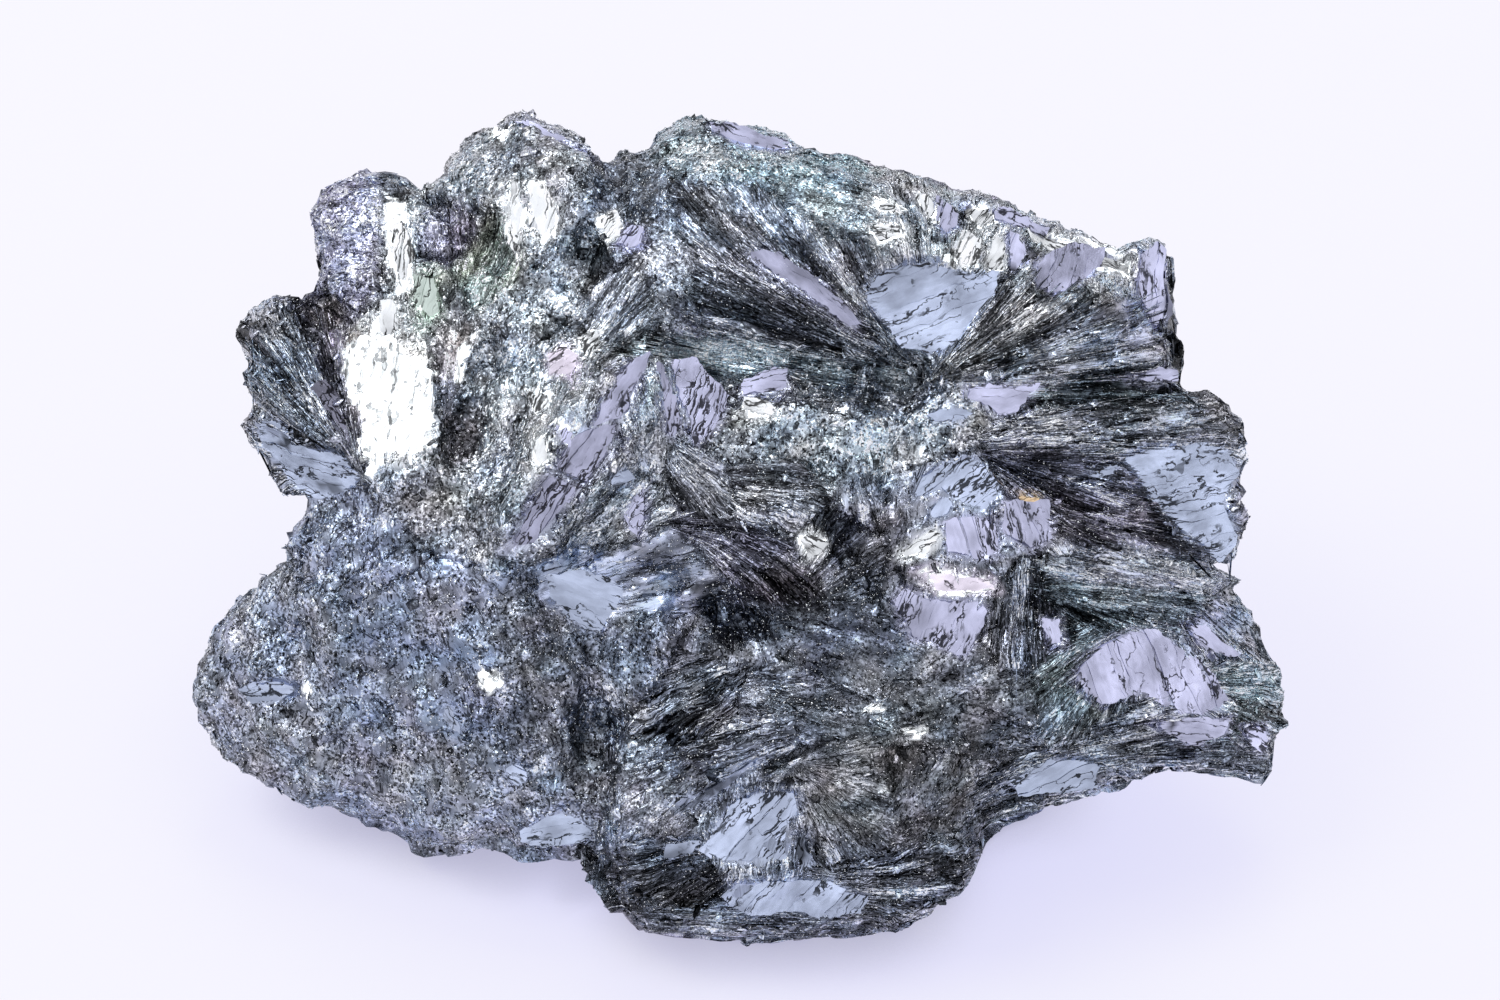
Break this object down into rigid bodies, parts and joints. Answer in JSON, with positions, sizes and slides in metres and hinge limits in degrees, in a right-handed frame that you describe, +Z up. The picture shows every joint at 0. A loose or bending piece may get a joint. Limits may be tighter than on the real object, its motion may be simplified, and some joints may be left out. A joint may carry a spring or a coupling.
{
  "type": "specular hematite specimen",
  "caption": "Free-standing mineral specimen: a grown-together mass of metallic, bladed plates in fans, worn flat underneath so that it rests steadily.",
  "frame": {"origin": "centre of the bounding box's base, on the level surface that the specimen rests on", "axes": "+X to the right along the specimen's longest side, -Y towards the side that its best face looks out from, +Z up"},
  "size_m": [0.12, 0.0836, 0.0708],
  "materials": {
    "specular_hematite": "metallic, from mirror-bright plates to granular"
  },
  "bodies": {
    "root": {"hematite": "specular_hematite"}
  },
  "joints": []
}
